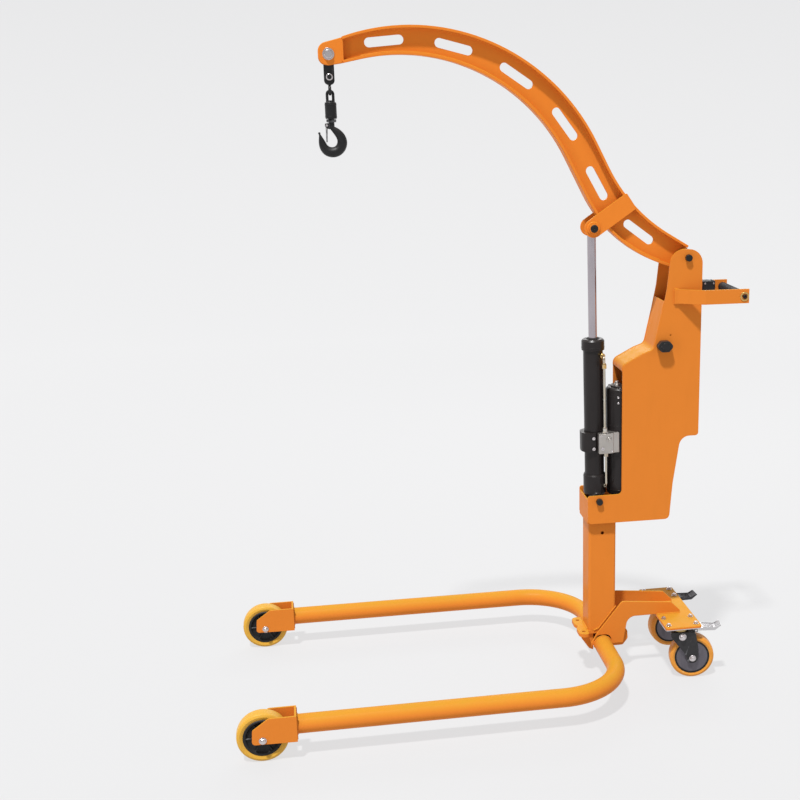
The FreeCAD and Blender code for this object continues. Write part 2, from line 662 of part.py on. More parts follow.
def bolt_profile(shank, half, head):
    return [(0, -half - head), (shank + 4, -half - head, 2), (shank + 4, -half), (shank, -half), (shank, half),
            (shank + 5, half), (shank + 4, half + head, 2), (0, half + head)]


# ---- hook set ----

FORK_Z = 1896
LINK_Z, RING = 1860, 11
WIRE = 4
EYE_RING = 8.5
EYE_Z = LINK_Z - RING + 2 * WIRE + 0.4 - EYE_RING
BARREL_LOW, BARREL_HIGH = 1781, 1827
STEM, COLLAR = 8.5, 12.5


def ring_shape(centre, axis, radius):
    return Part.makeTorus(radius, WIRE, Vector(*centre), Vector(*axis))


def add_feature(label, shape):
    feature = doc.addObject("Part::Feature", label)
    feature.Label = label
    feature.Shape = shape.removeSplitter()
    parts.append(feature)


def make_shackle():
    """Double clevis: a tongue between the nose cheeks and a fork below it."""
    x, z = TIP
    body = new_body("shackle", (0, -12, 0))
    high, low, half = z + 16, FORK_Z - 22, 14.5
    outline = [(x - half, high, 13), (x + half, high, 13), (x + half, low, 13), (x - half, low, 13)]
    pad(body, "XZ_Plane", [outline], 24)
    slot = [(x - 30, FORK_Z - 40), (x + 30, FORK_Z - 40), (x + 30, FORK_Z + 17), (x - 30, FORK_Z + 17)]
    pocket(body, "XZ_Plane", [slot], 15, 4.5)
    pocket(body, "XZ_Plane", [(x, z, 8 + SIZE["running_gap"]), (x, FORK_Z, 6)])
    turned("nose_bolt", bolt_profile(8, NOSE_HALF, 8), (x, 0, z), (0, 1, 0))
    turned("shackle_bolt", bolt_profile(6, 12, 6), (x, 0, FORK_Z), (0, 1, 0))


def make_link():
    """Upper eye on the shackle's bolt, and a lower ring at right angles to it."""
    x = TIP[0]
    eye = Part.makeCylinder(13, 14, Vector(x, -7, FORK_Z), Vector(0, 1, 0))
    hole = Part.makeCylinder(6 + SIZE["running_gap"], 20, Vector(x, -10, FORK_Z), Vector(0, 1, 0))
    neck = Part.makeCylinder(WIRE, FORK_Z - 10 - LINK_Z - RING, Vector(x, 0, LINK_Z + RING))
    ring = ring_shape((x, 0, LINK_Z), (1, 0, 0), RING)
    add_feature("link", eye.fuse(neck).cut(hole).fuse(ring))


def make_swivel():
    """Tall eye, and a barrel that holds the collar of the hook's stem."""
    x = TIP[0]
    room = 2 * (EYE_RING + WIRE)
    arch = ring_shape((x, 0, EYE_Z), (0, 1, 0), EYE_RING)
    arch = arch.common(Part.makeBox(room, room, room, Vector(x - room / 2, -room / 2, EYE_Z)))
    eye = Part.makeCylinder(11, 6, Vector(x, 0, BARREL_HIGH - 1))
    for side in (-1, 1):
        leg = Part.makeCylinder(WIRE, EYE_Z - BARREL_HIGH, Vector(x + side * EYE_RING, 0, BARREL_HIGH))
        eye = eye.fuse(leg)
    barrel = Part.makeCylinder(16.5, BARREL_HIGH - BARREL_LOW, Vector(x, 0, BARREL_LOW))
    barrel = barrel.makeFillet(3, [e for e in barrel.Edges if isinstance(e.Curve, Part.Circle)])
    seat = Part.makeCylinder(COLLAR + 0.3, 17.6, Vector(x, 0, BARREL_LOW + 13.7))
    bore = Part.makeCylinder(STEM + SIZE["running_gap"], 16, Vector(x, 0, BARREL_LOW - 1))
    add_feature("swivel", barrel.fuse(eye).fuse(arch).cut(seat).cut(bore))


def make_hook():
    """Stem with a collar in the barrel, and a body whose round section swells at the back and thins to the point."""
    x = TIP[0]
    stem = Part.makeCylinder(STEM, BARREL_LOW + 20 - 1755, Vector(x, 0, 1755))
    collar = Part.makeCylinder(COLLAR, 17, Vector(x, 0, BARREL_LOW + 14))
    middle = Vector(x, 0, 1717)
    sections = [(Vector(x, 0, 1760), 180, 9)]
    for degrees, reach, radius in ((130, 29, 12), (180, 28, 14), (225, 28.5, 14.5), (270, 29, 14.5), (315, 29, 13),
                                   (350, 28.5, 10.5), (380, 33, 7), (394, 43, 3.5)):
        a = math.radians(degrees)
        sections.append((middle + Vector(math.cos(a), 0, math.sin(a)) * reach, degrees, radius))
    wires = []
    for centre, degrees, radius in sections:
        ring = Part.Wire(Part.makeCircle(radius))
        ring.Placement = Placement(centre, Rotation(Vector(0, 1, 0), -degrees))
        wires.append(ring)
    body = Part.makeLoft(wires, True, False)
    point = Part.makeSphere(3.5, sections[-1][0])
    add_feature("hook", stem.fuse(collar).fuse(body).fuse(point))


def make_latch():
    """Sprung flap across the throat, hinged on the front of the stem."""
    x = TIP[0]
    body = new_body("latch", (0, -7, 0))
    flap = [(x + 11, 1766, 2.5), (x + 17, 1766, 2.5), (x + 17, 1716, 1.5), (x + 13.5, 1716, 1.5)]
    pad(body, "XZ_Plane", [flap], 14)


make_sheet()
make_legs()
make_forks()
make_foot_plate()
make_column()
make_rear_frame()
make_front_wheels()
make_casters()
make_side_plates()
make_covers()
make_housing_pins()
make_knob()
make_handle()
make_control_pod()
make_barrel()
make_cap_and_clamp()
make_power_pack()
make_feed_pipe()
make_rod()
make_boom_web()
make_boom_flanges()
make_nose()
make_straps()
make_shackle()
make_link()
make_swivel()
make_hook()
make_latch()
doc.recompute()

for item in doc.Objects:
    if "Invalid" in item.State or "Error" in item.State:
        raise RuntimeError(f"{item.Label} failed: {item.State}")
for item in parts:
    if item.Shape.isNull() or not item.Shape.isValid() or len(item.Shape.Solids) != 1:
        raise RuntimeError(f"{item.Label} isn't one valid solid")

os.makedirs("parts", exist_ok=True)
for item in parts:
    item.Shape.exportStep(f"parts/{item.Label}.step")
print(len(parts), "sub-parts written")
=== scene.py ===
import json
import math

import bmesh
import bpy
from mathutils import Matrix, Vector


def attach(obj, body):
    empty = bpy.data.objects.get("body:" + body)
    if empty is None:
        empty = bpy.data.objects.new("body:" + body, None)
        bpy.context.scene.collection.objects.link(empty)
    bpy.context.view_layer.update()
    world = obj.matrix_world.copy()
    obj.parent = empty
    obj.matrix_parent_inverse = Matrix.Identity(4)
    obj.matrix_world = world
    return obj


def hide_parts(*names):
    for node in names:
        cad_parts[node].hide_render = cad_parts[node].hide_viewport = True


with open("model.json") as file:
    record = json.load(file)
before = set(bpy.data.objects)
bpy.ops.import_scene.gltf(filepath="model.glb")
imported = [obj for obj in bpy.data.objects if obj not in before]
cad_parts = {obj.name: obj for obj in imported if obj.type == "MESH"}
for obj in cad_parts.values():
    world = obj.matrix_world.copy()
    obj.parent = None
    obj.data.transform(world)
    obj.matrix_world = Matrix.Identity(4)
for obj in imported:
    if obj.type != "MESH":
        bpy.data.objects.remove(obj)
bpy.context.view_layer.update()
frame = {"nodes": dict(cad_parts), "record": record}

# Looks of the engine hoist crane, built round its CAD frame. Lengths are in millimetres, and points made
# by v() are in metres. +X is forward to the hook, +Y the crane's left, +Z up.

MM = 0.001
SIDES = (("left", 1), ("right", -1))
SHARP = math.radians(33)


def v(x, y, z):
    """Point in metres from millimetres."""
    return Vector((x, y, z)) * MM


# ---- materials ----

class Shader:
    """A node graph that ends in one Principled BSDF."""

    def __init__(self, name):
        self.material = bpy.data.materials.new(name)
        self.material.use_nodes = True
        self.tree = self.material.node_tree
        self.tree.nodes.clear()
        self.bsdf = self.add("ShaderNodeBsdfPrincipled")
        output = self.add("ShaderNodeOutputMaterial")
        self.tree.links.new(self.bsdf.outputs[0], output.inputs[0])
        self.coords = self.add("ShaderNodeTexCoord").outputs["Object"]
        self.geometry = self.add("ShaderNodeNewGeometry")

    def add(self, kind, **values):
        node = self.tree.nodes.new(kind)
        for key, value in values.items():
            if hasattr(node, key):
                setattr(node, key, value)
            else:
                self.feed(node.inputs[key], value)
        return node

    def feed(self, socket, value):
        if isinstance(value, bpy.types.NodeSocket):
            self.tree.links.new(value, socket)
        elif isinstance(value, (tuple, list)) and len(value) == 3 and socket.type == "RGBA":
            socket.default_value = (*value, 1)
        else:
            socket.default_value = value

    def noise(self, scale, detail, stretch=None):
        coords = self.coords
        if stretch:
            coords = self.add("ShaderNodeMapping", Vector=coords, Scale=stretch).outputs[0]
        return self.add("ShaderNodeTexNoise", Vector=coords, Scale=scale, Detail=detail).outputs[0]

    def span(self, value, low, high, to_low=0.0, to_high=1.0):
        """Maps low..high to to_low..to_high, clamped."""
        node = self.add("ShaderNodeMapRange", Value=value)
        for key, number in (("From Min", low), ("From Max", high), ("To Min", to_low), ("To Max", to_high)):
            node.inputs[key].default_value = number
        return node.outputs[0]

    def math(self, operation, a, b):
        node = self.add("ShaderNodeMath", operation=operation)
        self.feed(node.inputs[0], a)
        self.feed(node.inputs[1], b)
        return node.outputs[0]

    def mix(self, factor, a, b):
        node = self.add("ShaderNodeMix", data_type="RGBA")
        self.feed(node.inputs["Factor"], factor)
        self.feed(node.inputs[6], a)
        self.feed(node.inputs[7], b)
        return node.outputs[2]

    def bumps(self, layers):
        """Each layer is (height, distance in metres)."""
        normal = None
        for height, distance in layers:
            node = self.add("ShaderNodeBump", Height=height, Distance=distance, Strength=1.0)
            if normal:
                self.feed(node.inputs["Normal"], normal)
            normal = node.outputs[0]
        self.feed(self.bsdf.inputs["Normal"], normal)

    def edges(self, low, high):
        """Near 1 on worn outer edges, broken up by noise."""
        pointed = self.span(self.geometry.outputs["Pointiness"], low, high)
        return self.math("MULTIPLY", pointed, self.span(self.noise(60, 6), 0.42, 0.62))

    def dust_and_top_light(self, amount):
        """Mask for dust, and on paint for painted top light: more on faces that look up, and uneven."""
        split = self.add("ShaderNodeSeparateXYZ", Vector=self.geometry.outputs["Normal"])
        up = self.span(split.outputs["Z"], 0.1, 0.9)
        return self.math("MULTIPLY", up, self.span(self.noise(14, 8), 0.3, 0.7, 0.75 * amount, amount))


def shifted(colour, factor):
    return tuple(min(1.0, c * factor) for c in colour)


def surface(name, colour, rough, metallic=0.0, mottle=0.06, peel=(350, 0.00006), worn=None, dust_and_top_light=0.1,
            top_colour_of_dust_and_light=(0.30, 0.27, 0.23), gloss=0.5, **sockets):
    """Mottled base colour with edge wear, a colour on faces that look up (dust, and on paint a painted golden
    top light), uneven roughness, two scales of bump.
    """
    s = Shader(name)
    tone = s.mix(s.noise(9, 5), shifted(colour, 1 - mottle), shifted(colour, 1 + mottle))
    smear = s.noise(38, 8, stretch=(1, 1, 0.25))
    tone = s.mix(s.span(smear, 0.52, 0.75, 0, 0.35), tone, shifted(colour, 1 - 2.2 * mottle))
    if worn:
        tone = s.mix(s.edges(0.53, 0.62), tone, worn)
    # Faces that look up mix toward the top colour: real dust, and on paint a painted top light.
    if dust_and_top_light:
        tone = s.mix(s.dust_and_top_light(dust_and_top_light), tone, top_colour_of_dust_and_light)
    s.feed(s.bsdf.inputs["Base Color"], tone)
    uneven = s.span(smear, 0.3, 0.75, max(rough - 0.08, 0.03), min(rough + 0.14, 1))
    s.feed(s.bsdf.inputs["Roughness"], uneven)
    s.bsdf.inputs["Metallic"].default_value = metallic
    s.bsdf.inputs["Specular IOR Level"].default_value = gloss
    for key, value in sockets.items():
        s.feed(s.bsdf.inputs[key.replace("_", " ")], value)
    s.bumps([(s.noise(peel[0], 2), peel[1]), (s.noise(24, 4), peel[1] * 3)])
    return s.material


def paint(name, colour):
    # The golden top colour here is painted light: faces that look up are drawn yellower, as if lit from above.
    return surface(name, colour, 0.36, mottle=0.03, peel=(260, 0.00006), dust_and_top_light=0.8, top_colour_of_dust_and_light=(0.46, 0.250, 0.022),
                   gloss=0.04)


def forged(name, colour, rough=0.5):
    return surface(name, colour, rough, metallic=0.35, mottle=0.35, peel=(420, 0.00025), dust_and_top_light=0.05,
                   worn=(0.16, 0.16, 0.17))


def plated(name, colour, rough=0.28):
    return surface(name, colour, rough, metallic=1.0, mottle=0.10, peel=(900, 0.00003), dust_and_top_light=0.05,
                   worn=(0.75, 0.74, 0.72))


def urethane(name, colour):
    return surface(name, colour, 0.42, mottle=0.08, peel=(500, 0.00008), dust_and_top_light=0.5,
                   top_colour_of_dust_and_light=shifted(colour, 0.8), gloss=0.25, worn=(0.62, 0.40, 0.16),
                   Subsurface_Weight=0.08, Subsurface_Radius=(0.012, 0.006, 0.002))


def plastic(name, colour, rough=0.45):
    return surface(name, colour, rough, mottle=0.2, peel=(1400, 0.00005), dust_and_top_light=0.05, worn=(0.10, 0.10, 0.105),
                   gloss=0.3)


ORANGE = (0.65, 0.195, 0.027)
MATERIALS = {
    "frame_paint": paint("frame_paint", ORANGE),
    # The boom's orange is the frame's paint made lighter, a lit copy of the same paint: painted light.
    "boom_paint": paint("boom_paint", (0.72, 0.205, 0.026)),
    "housing_paint": paint("housing_paint", ORANGE),
    "front_tread": urethane("front_tread", (0.62, 0.335, 0.040)),
    "rear_tread": urethane("rear_tread", (0.66, 0.265, 0.035)),
    "wheel_core": plastic("wheel_core", (0.011, 0.011, 0.012), 0.6),
    "rear_core": surface("rear_core", (0.13, 0.12, 0.14), 0.4, metallic=0.6, mottle=0.25, dust_and_top_light=0.0),
    "bolt_steel": plated("bolt_steel", (0.66, 0.62, 0.63)),
    "yoke_steel": forged("yoke_steel", (0.022, 0.021, 0.023), 0.42),
    "pedal_steel": plated("pedal_steel", (0.62, 0.61, 0.62), 0.32),
    "pedal_dark": forged("pedal_dark", (0.03, 0.03, 0.035), 0.4),
    "pin_black": forged("pin_black", (0.012, 0.011, 0.011), 0.4),
    "knob_black": plastic("knob_black", (0.012, 0.012, 0.013), 0.3),
    "grip_rubber": plastic("grip_rubber", (0.014, 0.014, 0.017), 0.55),
    "pod_plastic": plastic("pod_plastic", (0.016, 0.016, 0.018), 0.42),
    "rocker_plastic": plastic("rocker_plastic", (0.03, 0.03, 0.033), 0.3),
    "ram_black": surface("ram_black", (0.013, 0.010, 0.010), 0.33, mottle=0.3, peel=(300, 0.00006), dust_and_top_light=0.04,
                         gloss=0.3),
    "rod_chrome": plated("rod_chrome", (0.46, 0.42, 0.45), 0.14),
    "valve_grey": plated("valve_grey", (0.50, 0.47, 0.44), 0.42),
    "pipe_zinc": plated("pipe_zinc", (0.58, 0.52, 0.42), 0.3),
    "hook_black": forged("hook_black", (0.012, 0.012, 0.013), 0.42),
    "latch_grey": plated("latch_grey", (0.26, 0.26, 0.27), 0.4),
}
RACE_ZINC = plated("race_zinc", (0.72, 0.50, 0.20), 0.3)
BRASS = plated("brass", (0.70, 0.46, 0.16), 0.3)
RUBBER = plastic("seal_rubber", (0.01, 0.01, 0.01), 0.6)
BACKDROP = Shader("backdrop")
BACKDROP.bsdf.inputs["Roughness"].default_value = 0.9
BACKDROP.bsdf.inputs["Base Color"].default_value = (0.10, 0.10, 0.10, 1)
BACKDROP.bsdf.inputs["Emission Color"].default_value = (0.99, 0.99, 1, 1)
BACKDROP.bsdf.inputs["Emission Strength"].default_value = 0.66


# ---- pieces ----

def settle(obj, body, slot, material=None, bevel=0.0, replaces=None):
    """Gives a finished piece its material (by default the slot's), rounded edges and body."""
    mesh = obj.data
    mesh.materials.clear()
    mesh.materials.append(material or MATERIALS[slot])
    mesh.shade_smooth()
    if bevel:
        rounding = obj.modifiers.new("Rounding", "BEVEL")
        rounding.width = bevel * MM
        rounding.segments = 3
        rounding.limit_method = "ANGLE"
        rounding.angle_limit = SHARP
        rounding.miter_outer = "MITER_ARC"
    else:
        mesh.set_sharp_from_angle(angle=SHARP)
    weighted = obj.modifiers.new("Shading", "WEIGHTED_NORMAL")
    weighted.keep_sharp = True
    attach(obj, body)
    if replaces:
        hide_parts(replaces)
    return obj


def new_object(name, bm):
    """Object made from a bmesh, which it uses up."""
    bmesh.ops.recalc_face_normals(bm, faces=bm.faces)
    mesh = bpy.data.meshes.new(name)
    bm.to_mesh(mesh)
    bm.free()
    obj = bpy.data.objects.new(name, mesh)
    bpy.context.scene.collection.objects.link(obj)
    return obj


C_SHAPED = ("ram_clamp",)  # faces that bend round an opening are split, or their rounded edges bridge it


def dress(node, body, slot, bevel):
    """Visible copy of a CAD node with welded, rounded edges."""
    bm = bmesh.new()
    bm.from_mesh(frame["nodes"][node].data)
    bmesh.ops.remove_doubles(bm, verts=bm.verts, dist=1e-6)
    bmesh.ops.dissolve_limit(bm, angle_limit=math.radians(0.4), verts=bm.verts, edges=bm.edges)
    if node in C_SHAPED:
        bmesh.ops.connect_verts_concave(bm, faces=bm.faces)
    return settle(new_object(f"{node}_look", bm), body, slot, bevel=bevel, replaces=node)


def frame_of(axis):
    """Rotation that takes local Z to an axis."""
    return Vector(axis).normalized().to_track_quat("Z", "Y").to_matrix().to_4x4()


def lathe_into(bm, profile, place, steps=64):
    """Closed (radius, height) profile turned round local Z."""
    rings = []
    for radius, height in profile:
        if radius < 1e-6:
            rings.append([bm.verts.new(place @ v(0, 0, height))])
            continue
        ring = []
        for i in range(steps):
            a = 2 * math.pi * i / steps
            ring.append(bm.verts.new(place @ v(radius * math.cos(a), radius * math.sin(a), height)))
        rings.append(ring)
    for first, second in zip(rings, rings[1:] + rings[:1]):
        if len(first) == 1 and len(second) == 1:
            continue
        for i in range(steps):
            a, b = first[i % len(first)], first[(i + 1) % len(first)]
            c, d = second[(i + 1) % len(second)], second[i % len(second)]
            bm.faces.new(list(dict.fromkeys((a, b, c, d))))


def rounded(profile, closed=True, arc=5):
    """Replaces each (x, y, radius) corner with a short arc."""
    result = []
    count = len(profile)
    for i, corner in enumerate(profile):
        if len(corner) < 3 or (not closed and i in (0, count - 1)):
            result.append((corner[0], corner[1]))
            continue
        here = Vector(corner[:2])
        before = Vector(profile[i - 1][:2]) - here
        after = Vector(profile[(i + 1) % count][:2]) - here
        reach = corner[2] / math.tan(before.angle(after) / 2)
        reach = min(reach, before.length * 0.98, after.length * 0.98)
        start, end = here + before.normalized() * reach, here + after.normalized() * reach
        for step in range(arc + 1):
            t = step / arc
            point = start * (1 - t) ** 2 + here * 2 * t * (1 - t) + end * t ** 2
            result.append((point.x, point.y))
    return result


def turned(name, profile, at, axis, body, slot, material=None, replaces=None, steps=64):
    """Piece turned round an axis through a point, from a closed (radius, height, corner radius) profile."""
    bm = bmesh.new()
    lathe_into(bm, rounded(profile), Matrix.Translation(v(*at)) @ frame_of(axis), steps)
    return settle(new_object(name, bm), body, slot, material, replaces=replaces)


def slab_into(bm, outline, low, high, plane="XZ"):
    """Prism from a closed outline: XZ runs along Y, XY along Z."""
    bottom, top = [], []
    for ring, level in ((bottom, low), (top, high)):
        for a, b in outline:
            ring.append(bm.verts.new(v(a, level, b) if plane == "XZ" else v(a, b, level)))
    bm.faces.new(bottom)
    bm.faces.new(top)
    for i in range(len(outline)):
        j = (i + 1) % len(outline)
        bm.faces.new((bottom[i], bottom[j], top[j], top[i]))


def slab(name, outline, low, high, body, slot, bevel=0.8, turn=None):
    """Piece of even thickness along Y, from an outline of (x, z, corner radius)."""
    bm = bmesh.new()
    slab_into(bm, rounded(outline), low, high)
    if turn is not None:
        bm.transform(turn)
    return settle(new_object(name, bm), body, slot, bevel=bevel)


RIPPLE_LENGTH = 2.2


def sweep_into(bm, path, radius, steps, ripple):
    """Round bar along points in metres, with a ripple like a weld's as a share of the radius."""
    lengths = [0.0]
    for a, b in zip(path, path[1:]):
        lengths.append(lengths[-1] + (b - a).length)
    tangents = []
    for i in range(len(path)):
        tangents.append((path[min(i + 1, len(path) - 1)] - path[max(i - 1, 0)]).normalized())
    side = tangents[0].orthogonal().normalized()
    rings = []
    for i, point in enumerate(path):
        side = (side - tangents[i] * side.dot(tangents[i])).normalized()
        up = tangents[i].cross(side)
        r = radius * MM
        r *= 1 + ripple * math.sin(lengths[i] / (RIPPLE_LENGTH * MM) * math.pi)
        ring = []
        for k in range(steps):
            a = 2 * math.pi * k / steps
            ring.append(bm.verts.new(point + side * (r * math.cos(a)) + up * (r * math.sin(a))))
        rings.append(ring)
    for first, second in zip(rings, rings[1:]):
        for k in range(steps):
            m = (k + 1) % steps
            bm.faces.new((first[k], first[m], second[m], second[k]))
    bm.faces.new(rings[0])
    bm.faces.new(rings[-1][::-1])


def bar(name, path, radius, body, slot, steps, ripple=0.0, replaces=None):
    """Piece swept along a path: a pipe, a seam or a spring."""
    bm = bmesh.new()
    sweep_into(bm, path, radius, steps, ripple)
    return settle(new_object(name, bm), body, slot, replaces=replaces)


def spaced(points, pitch):
    """Points every pitch millimetres along a polyline in metres."""
    result = [points[0]]
    for a, b in zip(points, points[1:]):
        count = max(1, round((b - a).length / (pitch * MM)))
        result += [a.lerp(b, k / count) for k in range(1, count + 1)]
    return result


def bead(name, points, body, slot, radius=2.2):
    """Painted weld seam: a rippled half-sunk bar."""
    return bar(name, spaced(points, 1.6), radius, body, slot, steps=10, ripple=0.09)


def bolt(name, at, axis, size, body, slot="bolt_steel", washer=True, head="hex"):
    """Bolt head of a thread size, seated at a point and standing out along an axis."""
    bm = bmesh.new()
    place = Matrix.Translation(v(*at)) @ frame_of(axis)
    base = 0.0
    if washer:
        base = size * 0.2
        disc = [(0, -0.3), (size * 1.1, -0.3), (size * 1.1, base, 0.4), (0, base)]
        lathe_into(bm, rounded(disc), place, 40)
    height = size * 0.65
    if head == "hex":
        across = size * 0.92
        rings = ((across * 0.98, base), (across, base + height * 0.12), (across, base + height * 0.8),
                 (across * 0.86, base + height))
        corners = [(math.cos(k * math.pi / 3), math.sin(k * math.pi / 3)) for k in range(6)]
        loops = []
        for radius, z in rings:
            loops.append([bm.verts.new(place @ v(radius * x, radius * y, z)) for x, y in corners])
        for first, second in zip(loops, loops[1:]):
            for k in range(6):
                bm.faces.new((first[k], first[(k + 1) % 6], second[(k + 1) % 6], second[k]))
        bm.faces.new(loops[0])
        bm.faces.new(loops[-1])
        tip = base + height
        lathe_into(bm, rounded([(0, tip - 0.2), (size * 0.5, tip - 0.2), (size * 0.5, tip + size * 0.22, 0.6),
                                (0, tip + size * 0.22)]), place, 32)
    else:
        deep = height * 0.55
        lathe_into(bm, rounded([(0, base), (size * 0.8, base), (size * 0.8, base + height, 0.8),
                                (size * 0.42, base + height, 0.3), (size * 0.36, base + height - deep),
                                (0, base + height - deep)]), place, 36)
    return settle(new_object(name, bm), body, slot, bevel=0.35)


# ---- the CAD nodes that only need rounded edges and better surfaces: their edge radii ----

BODY_OF = {}
SLOT_OF = {}
for body_name, members in frame["record"]["behaviour"]["bodies"].items():
    for member in members:
        BODY_OF[member] = body_name
for part in frame["record"]["subparts"]:
    SLOT_OF[part["node"]] = part["material_slot"]

DRESSED = {
    "leg": 0.0, "fork": 2.0, "rear_side": 1.5, "caster_plate": 1.5, "caster_yoke": 1.6, "brake_pedal": 1.2,
    "housing": 1.6, "handle_arm": 1.4, "strap": 1.6, "foot_plate": 2.0, "column": 0.0, "rear_cross": 2.0,
    "shoulder_cover": 1.0, "rear_cover": 1.0, "nose_cover": 1.0, "pivot_pin": 0.6, "foot_pin": 0.6,
    "side_knob": 3.0, "control_pod": 3.0, "rocker": 1.2, "ram_clamp": 0.7, "valve_block": 1.4,
    "ram_barrel": 0.0, "ram_cap": 0.0, "pump_unit": 0.0, "rod": 0.0,
    "boom_web": 1.0, "boom_top_flange": 1.2, "boom_bottom_flange": 1.2, "boom_nose": 2.5, "nose_bolt": 0.5,
    "shackle": 2.0, "shackle_bolt": 0.5, "link": 0.0, "swivel": 0.0, "hook": 0.0, "latch": 0.8,
}
for node in sorted(frame["nodes"]):
    family = node
    for side_name, side in SIDES:
        family = family.removesuffix(f"_{side_name}")
    if family in DRESSED:
        dress(node, BODY_OF[node], SLOT_OF[node], DRESSED[family])


# ---- pieces with more shape than their CAD nodes ----

def bend(points, radius, arc=8):
    """Path in metres through points in millimetres, with each corner eased by a curve."""
    here = [v(*p) for p in points]
    path = [here[0]]
    for before, corner, after in zip(here, here[1:], here[2:]):
        reach = min(radius * MM, (before - corner).length * 0.49, (after - corner).length * 0.49)
        start = corner + (before - corner).normalized() * reach
        end = corner + (after - corner).normalized() * reach
        for k in range(arc + 1):
            t = k / arc
            path.append(start * (1 - t) ** 2 + corner * 2 * t * (1 - t) + end * t ** 2)
    return path + [here[-1]]


def circle_path(centre, axis, radius, count=72):
    """Closed path in metres round an axis through a point."""
    place = Matrix.Translation(v(*centre)) @ frame_of(axis)
    return [place @ v(radius * math.cos(a), radius * math.sin(a), 0)
            for a in (2 * math.pi * k / count for k in range(count + 1))]


def tyre_profile(radius, core, width):
    """Moulded tread: crowned running face, shoulders and a lip over the core."""
    half = width / 2
    lower = [(core - 1, -half + 3), (core + 3, -half + 1.5, 1.5), (radius - 9, -half, 3),
             (radius - 1.2, -half + 3.5, 5), (radius, -half * 0.4, 8)]
    upper = [(r, -h, *corner) for r, h, *corner in reversed(lower)]
    return lower + upper


def wheel(name, centre, axis, radius, core, width, hub, body, tread_slot, core_slot, nodes, ribs=6):
    """Tyre, dished core with a raised rim and ribs, or a flat disc inside a dark ring, and a bearing cup."""
    tyre_node, core_node = nodes
    turned(f"{name}_tyre", tyre_profile(radius, core, width), centre, axis, body, tread_slot,
           replaces=tyre_node, steps=112)
    half = width / 2
    bore = 6.06
    face = [(bore, -half - 3), (hub, -half - 3, 1.5), (hub + 1, -half + 5, 2), (core - 12, -half + 7, 2.5),
            (core - 8, -half + 1, 1.2), (core - 3, -half + 0.5, 1), (core, -half + 3, 1)]
    if not ribs:
        face = [(bore, -half - 3), (hub, -half - 3, 1.5), (hub + 3, -half + 2.5, 2),
                (core - 8, -half + 1.2, 0.6), (core - 6, -half + 1.8, 0.6), (core - 5.2, -half + 4),
                (core, -half + 4)]
    back = [(r, -h, *rest) for r, h, *rest in reversed(face)]
    bm = bmesh.new()
    place = Matrix.Translation(v(*centre)) @ frame_of(axis)
    lathe_into(bm, rounded(face + back), place, 96)
    for k in range(ribs):
        turn = place @ Matrix.Rotation(2 * math.pi * k / ribs, 4, "Z")
        for side in (-1, 1):
            low, high = half - 8, half - 2.2
            points = [(hub - 1, -2.2), (core - 9, -1.6), (core - 9, 1.6), (hub - 1, 2.2)]
            rib = [[bm.verts.new(turn @ v(x, y, side * z)) for x, y in points] for z in (low, high)]
            bm.faces.new(rib[0])
            bm.faces.new(rib[1])
            for i in range(4):
                j = (i + 1) % 4
                bm.faces.new((rib[0][i], rib[0][j], rib[1][j], rib[1][i]))
    settle(new_object(f"{name}_core", bm), body, core_slot, bevel=0.5, replaces=core_node)
    for label, side in (("inner", -1), ("outer", 1)):
        end = Vector(axis).normalized() * side
        if ribs:
            seat = [c + e * (half + 2.4) for c, e in zip(centre, end)]
            cup = [(9.5, -1), (hub - 2, -1), (hub - 2, 0.6, 0.5), (hub - 4, 1.1, 0.4), (11, 0.7, 0.4),
                   (9.5, 0.2)]
            turned(f"{name}_cup_{label}", cup, seat, end, body, core_slot, material=MATERIALS["bolt_steel"])
        else:
            turned(f"{name}_ring_{label}", [(core - 5.3, half - 6), (core - 5.3, half - 1.4, 0.6),
                                            (core - 0.2, half - 1.4, 0.6), (core - 0.2, half - 6)],
                   centre, end, body, core_slot, material=RUBBER, steps=96)


def axle(name, centre, axis, half, body, node, size=10):
    """Bolt through two cheeks: hex head on one side, washer, nut and thread end on the other."""
    axis = Vector(axis).normalized()
    turned(f"{name}_shank", [(0, -half), (6, -half), (6, half), (0, half)], centre, axis, body, "bolt_steel",
           replaces=node, steps=40)
    for label, side in (("head", 1), ("nut", -1)):
        at = [c + a * side * half for c, a in zip(centre, axis)]
        bolt(f"{name}_{label}", at, axis * side, size * (1.0 if side > 0 else 0.92), body)


FRONT_WHEEL_X, FRONT_WHEEL_Y, FRONT_WHEEL_RADIUS = 737, 403, 75


def front_wheels():
    """Wheels with their bolts, and the welds between the forks and the leg tubes."""
    for name, side in SIDES:
        centre = (FRONT_WHEEL_X, FRONT_WHEEL_Y * side, FRONT_WHEEL_RADIUS)
        wheel(f"front_{name}", centre, (0, 1, 0), FRONT_WHEEL_RADIUS, 57, 43, 21, f"front_wheel_{name}",
              "front_tread", "wheel_core", (f"front_tyre_{name}", f"front_core_{name}"))
        axle(f"front_axle_{name}_bolt", centre, (0, side, 0), 36, "base", f"front_axle_{name}")
        bead(f"fork_seam_{name}", circle_path((638, FRONT_WHEEL_Y * side, 100), (1, 0, 0), 29.4), "base",
             "frame_paint", 2.4)
        for edge in (-1, 1):
            label = "outer" if edge * side > 0 else "inner"
            y = FRONT_WHEEL_Y * side + edge * 30
            bead(f"fork_edge_{name}_{label}", [v(638.6, y, 66), v(638.6, y, 137)], "base", "frame_paint", 1.4)


CASTER_X, CASTER_Y = -594, 122
CASTER_TURNS = (-8, 3)
REAR_WHEEL_RADIUS, CASTER_TRAIL = 72.5, 40


def caster(side, turn):
    """Place of a caster's own frame: swivel axis at its origin, wheel behind it."""
    return Matrix.Translation(v(CASTER_X, CASTER_Y * side, 0)) @ Matrix.Rotation(math.radians(turn), 4, "Z")


def in_frame(place, x, y, z):
    """A point of that frame in the crane's own millimetres."""
    return tuple(c / MM for c in place @ v(x, y, z))


